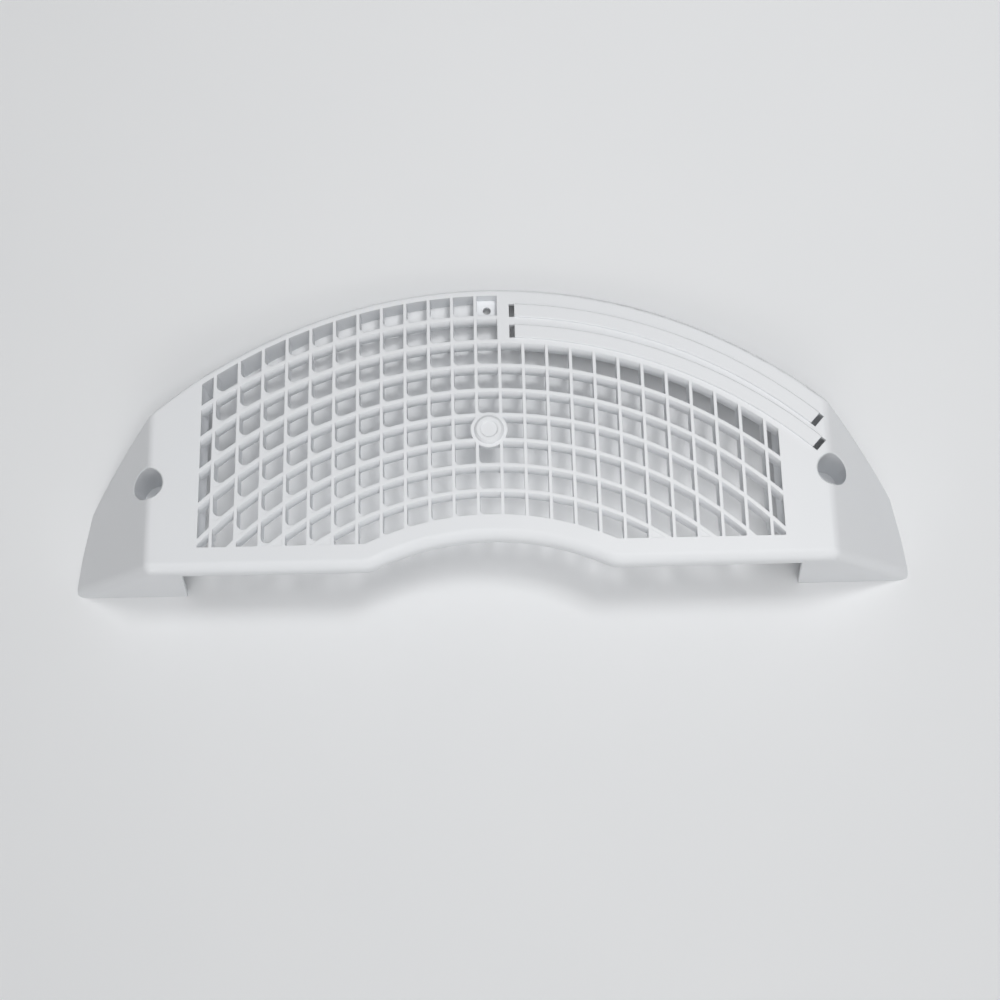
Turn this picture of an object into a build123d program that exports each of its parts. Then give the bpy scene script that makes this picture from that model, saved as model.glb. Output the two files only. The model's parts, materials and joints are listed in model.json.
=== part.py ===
from build123d import *

import os
from math import asin, cos, degrees, radians, sin, sqrt, tan

# Dryer outlet grille: a one-piece moulded cover that lies over the mouth of an air duct.
# A flat face leans down towards a curved rim, two wings slope from it to the base, and
# straight ribs cross concentric arc ribs over the air passage.
# Places on the face are given as x, across, and v, up the face from its front edge.
# Depth is measured square to the face, the way the mould opens.

# Driving dimensions, in millimetres and degrees.

# Shell
face_length = 148.25  # front edge to the top of the rim, along the face
face_tilt = 16.15  # lean of the face, with the front edge high
front_height = 50.7  # face above the base at the front edge
face_half = 172.0  # middle to the bend on each side
wing_angle = 46.8  # slope of the wings below the face
foot_half = 219.6  # middle to the outer front corner of each foot
shoulder_half = 213.2  # middle to the corner where the rim ends
shoulder_radius = 16.0
rim_radius = 261.5
rim_wall = 3.7
wall = 2.2
face_thick = 2.5
bend_radius = 5.8
front_radius = 5.6
front_inner_bevel = 2.0
rim_edge_radius = 1.6

# Front edge, with its notch and the mouth below it
notch_radius = 135.2
notch_end_drop = 0.6  # how far the front edge falls from the feet to the notch
notch_corner_radius = 16.0
lip_depth = 7.4
mouth_half = 154.9  # middle to each foot, just under the lip
mouth_draft = 7.9  # lean of the inner edges of the feet

# Grid of ribs
vent_half = 146.5
vent_front = 12.6  # straight front edge of the grid
arc_centre_drop = 121.4  # centre of the notch and the arc ribs, in front of the front edge
first_arc_radius = 148.0  # curved front edge of the grid
arc_pitch = 13.37
arc_width = 1.9
arc_count = 8
rib_pitch = 12.165
rib_width = 1.7
rib_count = 24
rib_depth = 10.7
duct_wall = 2.0
duct_depth = 20.0
web_radius_outer = 3.1  # rounded cell corners at the far left
web_radius_inner = 2.0  # and next to the middle
web_first_cut = 0.63  # share of the radius that the middle flat of a corner takes off
web_second_cut = 0.2  # and the flats on each side of it
smallest_cell = 4.0  # area under which a cell is left closed

# Sensor panel on the right of the face
panel_arcs = 7  # arc ribs below the panel
outer_rail_radius = 249.65  # middle of the outer rail, about the rim's centre
outer_rail_end = 41.6  # bearing of its far end
inner_rail_radius = 246.3  # middle of the inner rail, about the centre of the arc ribs
inner_rail_end = 42.3
rail_start = 14.3
rail_width = 7.4
rail_rise = 1.0
rail_edge_bevel = 0.5
slot_width = 2.8
slot_length = 7.2

# Sensor tab, sunk into the top cell in the middle
tab_sink = 6.0
tab_thick = 2.0
tab_hole_radius = 2.05
tab_hole_v = 138.5

# Moulding gate pad, on a crossing of ribs
gate_v = 71.0
gate_flange_radius = 9.4
gate_flange_thick = 3.0
gate_dome_radius = 7.5
gate_dome_rise = 1.8
gate_dome_bevel = 1.2
gate_dimple_radius = 4.6
gate_dimple_depth = 0.6

# Screw wells, on the bends
well_half = 173.2
well_v = 46.9
well_radius = 8.2
well_mouth_bevel = 0.6
well_wall = 2.0
well_depth = 34.5
screw_radius = 2.6

# Derived sizes
tilt = radians(face_tilt)
rim_centre = face_length - rim_radius
rim_inner_radius = rim_radius - rim_wall
shoulder_v = rim_centre + sqrt(rim_radius**2 - shoulder_half**2)
notch_half = sqrt(notch_radius**2 - (arc_centre_drop - notch_end_drop) ** 2)
notch_top = notch_radius - arc_centre_drop
mouth_slope = tan(radians(mouth_draft))
panel_edge = (rib_pitch - rib_width) / 2  # the panel starts at the rib right of the middle
# Centre on the middle line, radius and end bearing of each rail
rail_lines = (
    (rim_centre, outer_rail_radius, radians(outer_rail_end)),
    (-arc_centre_drop, inner_rail_radius, radians(inner_rail_end)),
)


def front_edge(x):
    """Where the straight front edge lies on the face, at a distance x from the middle."""
    return -notch_end_drop * (foot_half - x) / (foot_half - notch_half)


def base_depth(v):
    """Depth of the base below the face at v."""
    return (front_height - v * sin(tilt)) / cos(tilt)


# The base lies on z = 0, with the middle of its bounding box at the origin.
foot_inner_half = mouth_half + mouth_slope * (base_depth(0) - lip_depth)
foot_v = front_edge(foot_inner_half)
front_reach = foot_v * cos(tilt) - base_depth(foot_v) * sin(tilt)
back_reach = (face_length - rim_edge_radius) * cos(tilt) + rim_edge_radius * (1 - sin(tilt))
middle_shift = -(front_reach + back_reach) / 2

face_normal = Vector(0, sin(tilt), cos(tilt))
up_face = Vector(0, cos(tilt), -sin(tilt))
face_plane = Plane(origin=(0, middle_shift, front_height), x_dir=(1, 0, 0), z_dir=face_normal)
# On this plane x runs across, and y runs down into the part from the face.
front_plane = Plane(origin=face_plane.origin, x_dir=(1, 0, 0), z_dir=up_face)
through = 2 * base_depth(0)


def face_place(centre, radius, bearing):
    """Place on the face at a radius and a bearing about a centre on the middle line."""
    return (radius * sin(bearing), centre + radius * cos(bearing))


def rail_edge(centre, radius, end):
    """Start, middle and end of one long edge of a rail."""
    start = asin(rail_start / radius)
    return [face_place(centre, radius, bearing) for bearing in (start, (start + end) / 2, end)]


def wing_plane(side, inset):
    """Plane of one wing's slope, moved in by inset."""
    slope = radians(wing_angle)
    outward = Vector(side * sin(slope), 0, 0) + face_normal * cos(slope)
    bend = face_plane.from_local_coords(Vector(side * face_half, 0, 0))
    return Plane(origin=bend, x_dir=up_face, z_dir=outward).offset(-inset)


# Outline of the part, seen square to the face
with BuildSketch(face_plane) as outline:
    with BuildLine():
        ThreePointArc((-shoulder_half, shoulder_v), (0, face_length), (shoulder_half, shoulder_v))
        Polyline((shoulder_half, shoulder_v), (foot_half, 0), (notch_half, -notch_end_drop))
        ThreePointArc((notch_half, -notch_end_drop), (0, notch_top), (-notch_half, -notch_end_drop))
        Polyline((-notch_half, -notch_end_drop), (-foot_half, 0), (-shoulder_half, shoulder_v))
    make_face()
    fillet(outline.vertices().sort_by(Axis.Y)[-2:], shoulder_radius)
    fillet(outline.vertices().sort_by(lambda corner: abs(corner.X))[:2], notch_corner_radius)

# Screw wells, cut into the outer form
with BuildSketch(face_plane) as wells:
    with Locations((-well_half, well_v), (well_half, well_v)):
        Circle(well_radius)

# Outer form, as one block with its softened edges
with BuildPart() as outer:
    extrude(outline.sketch, amount=-through)
    for side in (-1, 1):
        split(bisect_by=wing_plane(side, 0), keep=Keep.BOTTOM)
    bends = outer.edges().filter_by(Axis(face_plane.origin, up_face))
    fillet(bends.sort_by(Axis(face_plane.origin, face_normal))[-2:], bend_radius)
    for radius, softening in ((notch_radius, front_radius), (rim_radius, rim_edge_radius)):
        arcs = outer.edges().filter_by(GeomType.CIRCLE)
        arcs = arcs.filter_by(lambda edge: abs(edge.radius - radius) < 0.01)
        fillet(arcs.sort_by(Axis(face_plane.origin, face_normal))[-1], softening)
    extrude(wells.sketch, amount=-well_depth, mode=Mode.SUBTRACT)
    mouths = outer.edges(Select.LAST).filter_by(
        lambda edge: face_plane.to_local_coords(edge.center()).Z > -well_depth / 2
    )
    mouths = mouths.filter_by(lambda edge: edge.geom_type != GeomType.LINE)
    chamfer(mouths, well_mouth_bevel)
    split(bisect_by=Plane.XY, keep=Keep.TOP)

# Hollow behind the face, open at the base
with BuildSketch(face_plane.offset(-face_thick)) as hollow_outline:
    add(outline.sketch_local)
    offset(amount=-wall)
    with Locations((0, rim_centre)):
        Circle(rim_inner_radius, mode=Mode.INTERSECT)

with BuildPart() as hollow:
    extrude(hollow_outline.sketch, amount=-through)
    for side in (-1, 1):
        split(bisect_by=wing_plane(side, wall), keep=Keep.BOTTOM)
    arcs = hollow.edges().filter_by(GeomType.CIRCLE)
    arcs = arcs.filter_by(lambda edge: abs(edge.radius - notch_radius - wall) < 0.01)
    chamfer(arcs.sort_by(Axis(face_plane.origin, face_normal))[-1], front_inner_bevel)

# Straight and arc ribs, as one lattice
with BuildSketch(face_plane) as lattice:
    with Locations((0, -arc_centre_drop)):
        for row in range(arc_count, 0, -1):
            Circle(first_arc_radius + row * arc_pitch)
            Circle(first_arc_radius + row * arc_pitch - arc_width, mode=Mode.SUBTRACT)
    with GridLocations(rib_pitch, 0, rib_count, 1):
        Rectangle(rib_width, 2 * face_length)

# Closed panel that carries the sensor rails
with BuildSketch(face_plane) as panel:
    with Locations((panel_edge, 0)):
        Rectangle(2 * vent_half, 2 * face_length, align=(Align.MIN, Align.CENTER))
    with Locations((0, -arc_centre_drop)):
        Circle(first_arc_radius + panel_arcs * arc_pitch - arc_width, mode=Mode.SUBTRACT)

# Area of the air passage
with BuildSketch(face_plane) as vent:
    with Locations((0, rim_centre)):
        Circle(rim_inner_radius)
    with Locations((0, vent_front)):
        Rectangle(
            2 * vent_half, face_length, align=(Align.CENTER, Align.MIN), mode=Mode.INTERSECT
        )
    with Locations((0, -arc_centre_drop)):
        Circle(first_arc_radius, mode=Mode.SUBTRACT)
    add(panel.sketch_local, mode=Mode.SUBTRACT)

# Open cells between the ribs
with BuildSketch(face_plane) as cells:
    add(vent.sketch_local)
    add(lattice.sketch_local, mode=Mode.SUBTRACT)
    for cell in cells.faces().filter_by(lambda face: face.area < smallest_cell):
        add(cell, mode=Mode.SUBTRACT)
    # On the left half a web rounds the corner where each arc rib meets a straight rib.
    # Each round is three flats, because there are many and they are small.
    half_count = rib_count // 2
    for column in range(half_count):
        rib_side = (column + 0.5 - half_count) * rib_pitch + rib_width / 2
        share = column / half_count
        radius = web_radius_outer + share * (web_radius_inner - web_radius_outer)
        corners = []
        for cell in cells.faces():
            box = cell.bounding_box()
            if abs(box.min.X - rib_side) < 0.01 and box.min.Y > vent_front + arc_width:
                corners.append(cell.vertices().sort_by(Axis.X)[:2].sort_by(Axis.Y)[0])
        chamfer(corners, radius * web_first_cut)
        chamfer(cells.vertices(Select.LAST), radius * web_second_cut)

# Rib stock behind the face, with the walls of the air passage and the screw wells
with BuildSketch(face_plane) as rib_stock:
    add(vent.sketch_local)
    offset(amount=duct_wall)

with BuildSketch(face_plane) as duct_sides:
    for side in (-1, 1):
        with Locations((side * (vent_half + duct_wall / 2), 0)):
            Rectangle(duct_wall, 2 * face_length)

with BuildSketch(face_plane) as well_tubes:
    with Locations((-well_half, well_v), (well_half, well_v)):
        Circle(well_radius + well_wall)

with BuildPart() as inner:
    extrude(rib_stock.sketch, amount=-rib_depth)
    extrude(duct_sides.sketch, amount=-duct_depth)
    extrude(well_tubes.sketch, amount=-through)
    add(outer.part, mode=Mode.INTERSECT)

# Mouth between the feet, under the front lip
with BuildSketch(front_plane.offset(-face_length / 2)) as mouth:
    with BuildLine():
        far_half = mouth_half + mouth_slope * (through - lip_depth)
        Polyline(
            (-mouth_half, lip_depth),
            (mouth_half, lip_depth),
            (far_half, through),
            (-far_half, through),
            close=True,
        )
    make_face()

# Two raised rails for the sensor strips, with a slot at each end
with BuildSketch(face_plane.offset(-face_thick / 2)) as rails:
    for centre, radius, end in rail_lines:
        with BuildLine():
            inner_edge = rail_edge(centre, radius - rail_width / 2, end)
            outer_edge = rail_edge(centre, radius + rail_width / 2, end)
            ThreePointArc(*inner_edge)
            ThreePointArc(*outer_edge)
            Line(inner_edge[0], outer_edge[0])
            Line(inner_edge[-1], outer_edge[-1])
        make_face()

with BuildPart() as rail_bars:
    extrude(rails.sketch, amount=face_thick / 2 + rail_rise)
    level_faces = rail_bars.faces().filter_by(face_plane)
    tops = level_faces.sort_by(Axis(face_plane.origin, face_normal))[-len(rail_lines) :]
    chamfer(tops.edges().filter_by(GeomType.CIRCLE), rail_edge_bevel)

with BuildSketch(face_plane) as slots:
    for centre, radius, end in rail_lines:
        near = asin((rail_start - slot_width / 2) / radius)
        far = end + asin(slot_width / 2 / radius)
        far_place = Location(face_place(centre, radius, far), -degrees(far))
        with Locations(face_place(centre, radius, near), far_place):
            Rectangle(slot_width, slot_length)

# Sunken tab with its hole
with BuildSketch(face_plane.offset(-tab_sink)) as tab:
    with Locations((0, rim_centre)):
        Circle(rim_inner_radius + rim_wall / 2)
    with Locations((panel_edge + duct_wall / 2, 0)):
        Rectangle(
            panel_edge + duct_wall / 2 + rib_pitch / 2,
            2 * face_length,
            align=(Align.MAX, Align.CENTER),
            mode=Mode.INTERSECT,
        )
    with Locations((0, -arc_centre_drop)):
        Circle(first_arc_radius + arc_count * arc_pitch - arc_width / 2, mode=Mode.SUBTRACT)
    with Locations((0, tab_hole_v)):
        Circle(tab_hole_radius, mode=Mode.SUBTRACT)

# Round pad left by the moulding gate, turned about the mould's opening direction
gate_plane = Plane(
    origin=face_plane.from_local_coords(Vector(0, gate_v, 0)), x_dir=(1, 0, 0), z_dir=-up_face
)
with BuildSketch(gate_plane) as gate_profile:
    with BuildLine():
        dimple_floor = gate_dome_rise - gate_dimple_depth
        Polyline(
            (0, -gate_flange_thick),
            (gate_flange_radius, -gate_flange_thick),
            (gate_flange_radius, 0),
            (gate_dome_radius, 0),
            (gate_dome_radius, gate_dome_rise),
            (gate_dimple_radius, gate_dome_rise),
            (gate_dimple_radius - gate_dimple_depth, dimple_floor),
            (0, dimple_floor),
            close=True,
        )
    make_face()
    shoulder = gate_profile.vertices().sort_by_distance((gate_dome_radius, gate_dome_rise))[0]
    chamfer(shoulder, gate_dome_bevel)

with BuildPart() as gate_pad:
    revolve(gate_profile.sketch, axis=Axis(gate_plane.origin, face_normal))

# Screw holes in the floors of the wells
with BuildSketch(face_plane) as screw_holes:
    with Locations((-well_half, well_v), (well_half, well_v)):
        Circle(screw_radius)

# The whole grille
with BuildPart() as outlet_grille:
    add(outer.part)
    add(hollow.part, mode=Mode.SUBTRACT)
    add(inner.part)
    extrude(mouth.sketch, amount=face_length / 2 + notch_top + 2 * wall, mode=Mode.SUBTRACT)
    extrude(cells.sketch, amount=-(rib_depth + wall), mode=Mode.SUBTRACT)
    extrude(screw_holes.sketch, amount=-through, mode=Mode.SUBTRACT)
    add(rail_bars.part)
    extrude(slots.sketch, amount=2 * face_thick, both=True, mode=Mode.SUBTRACT)
    extrude(tab.sketch, amount=-tab_thick)
    add(gate_pad.part)

outlet_grille.part.label = "outlet_grille"
os.makedirs("parts", exist_ok=True)
export_step(outlet_grille.part, "parts/outlet_grille.step")
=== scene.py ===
# %% [markdown]
# # A moulded outlet grille in a photo studio
# The object is one piece of white plastic: a slanted face with crossed ribs, two sloped wings,
# a curved rim and a notched front lip. Its shape comes from a CAD model. The CAD model could be
# rebuilt as a mesh here, but then every size would have to be matched twice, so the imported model
# is loaded and kept as it is. This lesson adds the rounds on the ribs that the CAD model lacks,
# and then the finish, the light and the camera.

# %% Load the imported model
import json
from math import atan2, cos, degrees, pi, radians, sin, sqrt, tan

import bmesh
import bpy
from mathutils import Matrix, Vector


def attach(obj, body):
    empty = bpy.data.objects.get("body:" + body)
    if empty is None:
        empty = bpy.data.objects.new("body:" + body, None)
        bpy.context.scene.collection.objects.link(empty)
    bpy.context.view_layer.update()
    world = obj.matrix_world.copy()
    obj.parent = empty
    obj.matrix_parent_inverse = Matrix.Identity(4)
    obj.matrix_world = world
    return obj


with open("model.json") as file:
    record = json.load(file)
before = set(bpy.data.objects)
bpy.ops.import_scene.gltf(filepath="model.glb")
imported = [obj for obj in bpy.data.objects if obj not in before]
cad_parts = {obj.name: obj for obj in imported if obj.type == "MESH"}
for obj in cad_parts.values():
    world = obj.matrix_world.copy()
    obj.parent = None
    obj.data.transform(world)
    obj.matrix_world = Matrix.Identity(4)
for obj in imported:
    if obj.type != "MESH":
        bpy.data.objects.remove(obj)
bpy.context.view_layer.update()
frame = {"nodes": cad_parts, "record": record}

grille = frame["nodes"]["outlet_grille"]

# %% [markdown]
# ## The lie of the face
# The face of the grille leans down towards the rim. The screw holes are square to it, so the
# axis of one of them gives the lean. Reading it from the record is safer than writing the
# angle a second time, because the two can't drift apart.

# %% Read the lean of the face
mounts = {mount["name"]: mount for mount in frame["record"]["mounts"]}
face_normal = Vector(mounts["left_screw"]["axis"])
lean = atan2(face_normal.y, face_normal.z)
print("face leans by", round(degrees(lean), 2), "degrees")

# %% [markdown]
# ## Smooth and sharp edges
# A moulded part has soft bends between its walls, and crisp edges on its ribs. The facets of a
# CAD model show as flat strips until the shading is smoothed. Smoothing everything would smear
# the light round the ribs, so only edges that turn by less than a set angle are smoothed.

# %% Smooth the bends and keep the ribs crisp
SOFT_TURN = radians(32)


def smooth_bends(piece):
    """Smooth the shading of a piece wherever it turns gently."""
    bpy.ops.object.select_all(action="DESELECT")
    bpy.context.view_layer.objects.active = piece
    piece.select_set(True)
    bpy.ops.object.shade_smooth_by_angle(angle=SOFT_TURN)


smooth_bends(grille)
print("smoothed turns under", round(degrees(SOFT_TURN)), "degrees")

# %% [markdown]
# ## White moulded plastic
# The real grille is a satin white plastic. Close up it isn't one flat colour: the melt leaves
# faint cool and warm drifts a few centimetres long, the mould's surface leaves a fine grain, and
# the polish varies a little. A painted picture could hold these, but noise in the object's own
# coordinates needs no picture and has no seams. A bevel in the shader rounds the light on the
# rib edges, which are too small and too many to round as geometry.

# %% Helpers for shader nodes
NOISE_LOW = 0.3
NOISE_HIGH = 0.7


def node(tree, kind, **settings):
    """Add a shader node and set its properties."""
    made = tree.nodes.new(kind)
    for name, value in settings.items():
        setattr(made, name, value)
    return made


def noise(tree, coordinates, scale, detail):
    """Noise in the object's own coordinates, with a scale in waves per metre."""
    made = node(tree, "ShaderNodeTexNoise")
    made.inputs["Scale"].default_value = scale
    made.inputs["Detail"].default_value = detail
    tree.links.new(coordinates, made.inputs["Vector"])
    return made.outputs["Fac"]


def ramp(tree, factor, low, high):
    """Colour that runs from low to high over the middle of a noise."""
    made = node(tree, "ShaderNodeValToRGB")
    made.color_ramp.elements[0].position = NOISE_LOW
    made.color_ramp.elements[0].color = (*low, 1)
    made.color_ramp.elements[1].position = NOISE_HIGH
    made.color_ramp.elements[1].color = (*high, 1)
    tree.links.new(factor, made.inputs["Fac"])
    return made.outputs["Color"]


def spread(tree, factor, low, high):
    """Number that runs from low to high over the middle of a noise."""
    made = node(tree, "ShaderNodeMapRange")
    made.inputs["From Min"].default_value = NOISE_LOW
    made.inputs["From Max"].default_value = NOISE_HIGH
    made.inputs["To Min"].default_value = low
    made.inputs["To Max"].default_value = high
    tree.links.new(factor, made.inputs["Value"])
    return made.outputs["Result"]


# %% Make the white plastic
COOL_WHITE = (0.884, 0.902, 0.926)
WARM_WHITE = (0.894, 0.908, 0.928)
DRIFT_WAVES = 11
POLISH_WAVES = 40
GRAIN_WAVES = 3500
EDGE_ROUND = 0.00045
GRAIN_HEIGHT = 0.00002
GRAIN_STRENGTH = 0.08
PLASTIC_IOR = 1.5
POLISHED = 0.42
SATIN = 0.45


def white_plastic():
    """Satin white moulded plastic."""
    made = bpy.data.materials.new("white_moulded_plastic")
    made.use_nodes = True
    tree = made.node_tree
    shader = tree.nodes["Principled BSDF"]
    shader.inputs["IOR"].default_value = PLASTIC_IOR
    place = node(tree, "ShaderNodeTexCoord").outputs["Object"]
    drift = noise(tree, place, DRIFT_WAVES, 3)
    tree.links.new(ramp(tree, drift, COOL_WHITE, WARM_WHITE), shader.inputs["Base Color"])
    polish = noise(tree, place, POLISH_WAVES, 2)
    tree.links.new(spread(tree, polish, POLISHED, SATIN), shader.inputs["Roughness"])
    rounding = node(tree, "ShaderNodeBevel", samples=6)
    rounding.inputs["Radius"].default_value = EDGE_ROUND
    grain = node(tree, "ShaderNodeBump")
    grain.inputs["Strength"].default_value = GRAIN_STRENGTH
    grain.inputs["Distance"].default_value = GRAIN_HEIGHT
    tree.links.new(noise(tree, place, GRAIN_WAVES, 2), grain.inputs["Height"])
    tree.links.new(rounding.outputs["Normal"], grain.inputs["Normal"])
    tree.links.new(grain.outputs["Normal"], shader.inputs["Normal"])
    return made


plastic = white_plastic()
grille.data.materials.clear()
grille.data.materials.append(plastic)
print("finish:", plastic.name)

# %% [markdown]
# ## The lattice of ribs
# Straight ribs cross arc ribs that share a centre in front of the grille. The next step fills
# some corners of the cells, so it needs to know where the ribs stand. Picking vertices of the
# loaded mesh would break as soon as a size changes, so the few sizes of the lattice are written
# here, in metres on the face: across it, and back along it from its front edge.

# %% Set out the lattice on the face
FRONT_EDGE = Vector((0, -0.063553, 0.0507))
RIB_COUNT = 24
RIB_PITCH = 0.012165
RIB_WIDTH = 0.0017
RIB_DEPTH = 0.0107
ARC_COUNT = 8
ARC_PITCH = 0.01337
ARC_WIDTH = 0.0019
FIRST_ARC_RADIUS = 0.148
ARC_CENTRE = Vector((0, -0.1214))
RIM_CENTRE = Vector((0, -0.11325))
RIM_INNER_RADIUS = 0.2578
GRID_FRONT = 0.0126
GRID_HALF = 0.1465

face_back = Vector((0, face_normal.z, -face_normal.y))


def on_face(across, back, down):
    """Point below the face, from its front edge."""
    return FRONT_EDGE + Vector((across, 0, 0)) + back * face_back - down * face_normal


def on_arc(radius, across):
    """How far back an arc about the centre of the arc ribs lies."""
    return ARC_CENTRE.y + sqrt(radius ** 2 - across ** 2)


print("arc ribs: radius", [round(FIRST_ARC_RADIUS + row * ARC_PITCH, 4) for row in (1, ARC_COUNT)])

# %% [markdown]
# ## Rounded corners in the cells
# Hot plastic flows badly into a sharp corner, so the mould of the real grille rounds the sharp
# corner of each cell on the left half, more towards the wing. The CAD solid has short flats
# there. A bevel on its edges could round them, but it would also round every rib, so each round
# is a small prism of its own: two sides sink into the ribs, and the hollow third side touches
# both of them. It ends a hair below the face, so that no two faces share a place.

# %% Outline one rounded corner
ROUND_STEPS = 9
SINK = 0.0005


def rounded_corner(rib_side, arc_radius, radius):
    """Outline of the corner between a straight rib and an arc rib, with a round on both."""
    across = rib_side + radius
    centre = Vector((across, on_arc(arc_radius + radius, across)))
    outward = (centre - ARC_CENTRE).normalized()
    turn = pi + atan2(-outward.y, -outward.x)
    angles = [pi + turn * step / ROUND_STEPS for step in range(ROUND_STEPS + 1)]
    outline = [centre + radius * Vector((cos(angle), sin(angle))) for angle in angles]
    beside_rib = outline[0] - Vector((SINK, 0))
    inside_arc = outline[-1] - SINK * outward
    crossing = Vector((rib_side - SINK, on_arc(arc_radius, rib_side) - SINK))
    return outline + [inside_arc, crossing, beside_rib]


# %% Collect the corners of the left half
ROUND_BY_WING = 0.0032
ROUND_BY_MIDDLE = 0.0024

half_count = RIB_COUNT // 2
outlines = []
for column in range(half_count):
    rib_side = (column + 0.5 - half_count) * RIB_PITCH + RIB_WIDTH / 2
    radius = ROUND_BY_WING + (ROUND_BY_MIDDLE - ROUND_BY_WING) * column / half_count
    for row in range(1, ARC_COUNT + 1):
        arc_radius = FIRST_ARC_RADIUS + row * ARC_PITCH
        corner = Vector((rib_side, on_arc(arc_radius, rib_side)))
        behind_front = corner.y > GRID_FRONT - ROUND_BY_WING
        if behind_front and (corner - RIM_CENTRE).length < RIM_INNER_RADIUS:
            outlines.append(rounded_corner(rib_side, arc_radius, radius))
print("rounded corners:", len(outlines))

# %% [markdown]
# ## Closed tips by the front edge
# An arc rib that runs into the front edge of the grid leaves a thin pointed gap beside it. Steel
# that thin would break in the mould, so on the real grille the larger of these tips are solid.
# They are triangles, sunk into the ribs around them in the same way as the rounds.

# %% Collect the tips on both sides
TIP_ROWS = (1, 2)

for row in TIP_ROWS:
    inner_radius = FIRST_ARC_RADIUS + row * ARC_PITCH - ARC_WIDTH + SINK
    front = GRID_FRONT - SINK
    reach = sqrt(inner_radius ** 2 - (front - ARC_CENTRE.y) ** 2)
    rib = int(reach / RIB_PITCH - 0.5) + 0.5
    rib_side = rib * RIB_PITCH + RIB_WIDTH / 2 - SINK
    for side in (-1, 1):
        outlines.append([
            Vector((side * rib_side, front)),
            Vector((side * reach, front)),
            Vector((side * rib_side, on_arc(inner_radius, rib_side))),
        ])
print("with closed tips:", len(outlines))

# %% [markdown]
# ## Small prisms
# Each outline becomes a prism. It is drawn twice, just below the face and at the foot of the
# ribs, and walls join the two. Solid prisms leave no open edges when the mesh is exported.

# %% Raise the prisms
BELOW_FACE = 0.00003


def add_prism(mesh, outline):
    """Closed prism square to the face, from just below it to the foot of the ribs."""
    top = [mesh.verts.new(on_face(*point, BELOW_FACE)) for point in outline]
    foot = [mesh.verts.new(on_face(*point, RIB_DEPTH - BELOW_FACE)) for point in outline]
    mesh.faces.new(top)
    mesh.faces.new(foot)
    for here in range(len(outline)):
        mesh.faces.new((top[here - 1], top[here], foot[here], foot[here - 1]))


rounds = bmesh.new()
for outline in outlines:
    add_prism(rounds, outline)
print("prisms:", len(outlines), "with", len(rounds.faces), "faces")

# %% [markdown]
# ## Rounded fronts of the arc ribs
# Light fades softly down the front of each arc rib of the real grille, because that side is a
# large round and not a sharp edge. A bevel in the shader is far too small for it, so the round
# is geometry. Its section starts with a blunt edge at the face, turns until it stands upright,
# and runs straight down to the foot of the rib, which sets its radius. The section is swept
# along each arc.

# %% Draw the section of the round
FRONT_TURN = radians(52)
SECTION_STEPS = 8


def front_section():
    """Steps forward from the rib and down from the face, round the section."""
    upright = pi / 2 + lean
    radius = RIB_DEPTH / (cos(FRONT_TURN) + sin(lean) + (cos(lean) - sin(FRONT_TURN)) / tan(lean))
    turns = [FRONT_TURN + (upright - FRONT_TURN) * step / SECTION_STEPS
             for step in range(SECTION_STEPS + 1)]
    curve = [(radius * (sin(turn) - sin(FRONT_TURN)), radius * (cos(FRONT_TURN) - cos(turn)))
             for turn in turns]
    loop = [(-SINK, 0), *curve, (0, RIB_DEPTH), (-SINK, RIB_DEPTH)]
    return [(out, min(down + BELOW_FACE, RIB_DEPTH - BELOW_FACE)) for out, down in loop]


section = front_section()
print("section of the round:", len(section), "points")

# %% Find how far each arc rib runs
PANEL_EDGE = (RIB_PITCH - RIB_WIDTH) / 2
PANEL_ROW = 8
END_SINK = 0.001
SEARCH_ANGLES = [radians(tenth / 10) for tenth in range(-600, 601)]


def front_side(row, angle):
    """Point on the front side of an arc rib."""
    radius = FIRST_ARC_RADIUS + row * ARC_PITCH - ARC_WIDTH
    return ARC_CENTRE + radius * Vector((sin(angle), cos(angle)))


def in_grid(row, point):
    """Whether the arc rib shows there, or is only just sunk into what ends it."""
    beside = abs(point.x) < GRID_HALF + END_SINK and point.y > GRID_FRONT - END_SINK
    below_rim = (point - RIM_CENTRE).length < RIM_INNER_RADIUS + END_SINK
    off_panel = row < PANEL_ROW or point.x < PANEL_EDGE + END_SINK
    return beside and below_rim and off_panel


# %% Sweep the section along the arcs
ARC_STEPS = 60


def add_front(mesh, row, first, last):
    """Sweep the section along the front side of one arc rib."""
    rings = []
    for step in range(ARC_STEPS + 1):
        angle = first + (last - first) * step / ARC_STEPS
        forward = -cos(angle) * Vector((sin(angle), cos(angle)))
        start = front_side(row, angle)
        spots = [(start + out * forward, down) for out, down in section]
        rings.append([mesh.verts.new(on_face(*spot, down)) for spot, down in spots])
    for ring, following in zip(rings, rings[1:]):
        for here in range(len(section)):
            mesh.faces.new((ring[here - 1], ring[here], following[here], following[here - 1]))
    mesh.faces.new(rings[0])
    mesh.faces.new(rings[-1])


for row in range(1, ARC_COUNT + 1):
    shown = [angle for angle in SEARCH_ANGLES if in_grid(row, front_side(row, angle))]
    add_front(rounds, row, shown[0], shown[-1])
print("with rounded fronts:", len(rounds.faces), "faces")

# %% [markdown]
# ## One piece of rounds
# The corners, the tips and the fronts belong to the same moulding, so they become one mesh with
# the finish of the grille. It rides on the grille's body, because nothing here moves by itself.

# %% Join the rounds
bmesh.ops.recalc_face_normals(rounds, faces=rounds.faces)
round_mesh = bpy.data.meshes.new("rib_rounds")
rounds.to_mesh(round_mesh)
rounds.free()

rib_rounds = bpy.data.objects.new("rib_rounds", round_mesh)
rib_rounds.data.materials.append(plastic)
bpy.context.scene.collection.objects.link(rib_rounds)
smooth_bends(rib_rounds)
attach(rib_rounds, "root")
print("rounds:", len(round_mesh.polygons), "faces")

# %% [markdown]
# ## The studio floor
# The grille lies on a plain pale table. The table takes the soft shadow round the rim and the
# feet, and it is what shows through the cells of the grid, so its tone matters as much as the
# plastic's. A large square is enough, with a faint mottling so that it isn't one flat colour.

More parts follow.
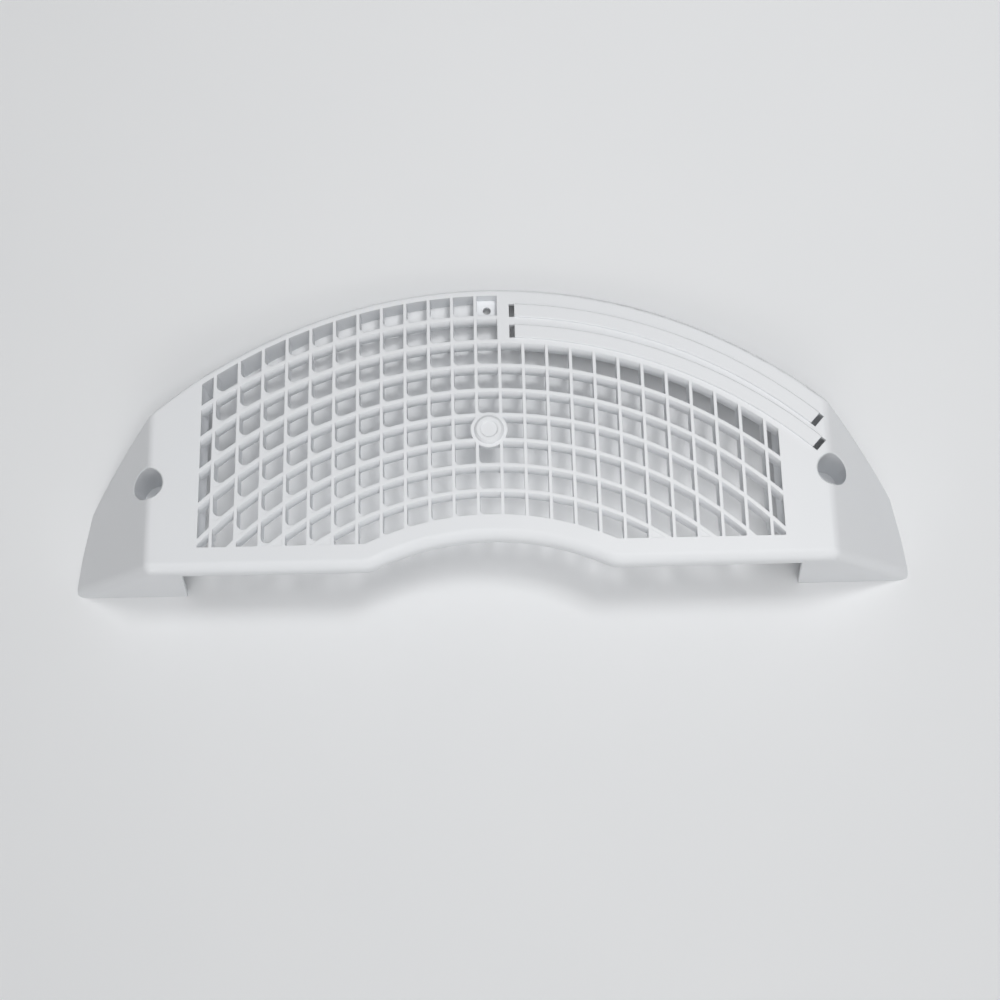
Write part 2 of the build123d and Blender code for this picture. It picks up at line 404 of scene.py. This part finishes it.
# %% Lay the floor
FLOOR_SIDE = 6.0
FLOOR_PALE = (0.872, 0.882, 0.894)
FLOOR_PALER = (0.882, 0.891, 0.902)
FLOOR_ROUGHNESS = 0.9
FLOOR_GLOSS = 0.1
MOTTLE_WAVES = 9


def pale_table():
    """Matt pale table top."""
    made = bpy.data.materials.new("pale_table")
    made.use_nodes = True
    tree = made.node_tree
    shader = tree.nodes["Principled BSDF"]
    shader.inputs["Roughness"].default_value = FLOOR_ROUGHNESS
    shader.inputs["Specular IOR Level"].default_value = FLOOR_GLOSS
    place = node(tree, "ShaderNodeTexCoord").outputs["Object"]
    mottle = noise(tree, place, MOTTLE_WAVES, 3)
    tree.links.new(ramp(tree, mottle, FLOOR_PALE, FLOOR_PALER), shader.inputs["Base Color"])
    return made


bpy.ops.mesh.primitive_plane_add(size=FLOOR_SIDE)
floor = bpy.context.object
floor.name = "studio_floor"
floor.data.materials.append(pale_table())
print("floor:", FLOOR_SIDE, "metres square")

# %% [markdown]
# ## Soft light
# The picture has hardly any dark tones, so most of the light comes from a large soft box
# overhead. A smaller and stronger one hangs behind the rim, and gives the short soft shadow under
# the front edge. Two wide boxes in front, one low, reach the front walls and the table under the
# ribs, and a weak one on the left keeps the left wing from going grey. Bare bulbs would give hard
# shadows, so each lamp is an area. The powers are balanced against each other, until the tones of
# the plates, the walls and the table come close to those of the picture.

# %% Hang the soft boxes
GRILLE_MIDDLE = Vector((0, 0, 0))
SKY_COLOUR = (0.94, 0.97, 1.0, 1)
SKY_STRENGTH = 0.03


def soft_box(name, place, size, power):
    """Rectangular area lamp that faces the middle of the grille."""
    lamp = bpy.data.lights.new(name, "AREA")
    lamp.shape = "RECTANGLE"
    lamp.size, lamp.size_y = size
    lamp.energy = power
    holder = bpy.data.objects.new(name, lamp)
    holder.location = place
    holder.rotation_euler = (GRILLE_MIDDLE - Vector(place)).to_track_quat("-Z", "Y").to_euler()
    bpy.context.scene.collection.objects.link(holder)


soft_box("top_box", (0.12, 0.1, 1.6), (1.2, 1.2), 10.8)
soft_box("key_box", (0.25, 0.5, 1.15), (0.25, 0.25), 4.4)
soft_box("front_box", (0.1, -1.0, 1.2), (1.8, 0.8), 4.0)
soft_box("low_box", (0.1, -1.4, 0.8), (2.2, 0.7), 4.6)
soft_box("left_box", (-1.4, 0, 1.0), (1.0, 1.0), 1.0)

world = bpy.data.worlds.new("studio")
world.use_nodes = True
background = world.node_tree.nodes["Background"]
background.inputs["Color"].default_value = SKY_COLOUR
background.inputs["Strength"].default_value = SKY_STRENGTH
bpy.context.scene.world = world
print("lamps:", [lamp.name for lamp in bpy.data.lights])

# %% [markdown]
# ## The camera
# The picture was taken from straight above. Its scale was measured at the table, and the way the
# ribs fan out from its middle gives the height of the camera. The lens then follows from both.
# The grille lies turned by about a degree, so the camera turns instead, because the model stays
# where the CAD puts it.

# %% Place the camera
CAMERA_HEIGHT = 0.800
CAMERA_X = 0.00477
CAMERA_Y = -0.03119
CAMERA_TURN = radians(-1.253)
PICTURE_PIXELS = 1000
PIXELS_PER_METRE = 1894

camera_data = bpy.data.cameras.new("camera")
camera_data.lens = camera_data.sensor_width * CAMERA_HEIGHT * PIXELS_PER_METRE / PICTURE_PIXELS
camera = bpy.data.objects.new("camera", camera_data)
camera.location = (CAMERA_X, CAMERA_Y, CAMERA_HEIGHT)
camera.rotation_euler = (0, 0, CAMERA_TURN)
bpy.context.scene.collection.objects.link(camera)
bpy.context.scene.camera = camera
bpy.context.scene.view_settings.view_transform = "Standard"
print("lens:", round(camera_data.lens, 2), "mm")
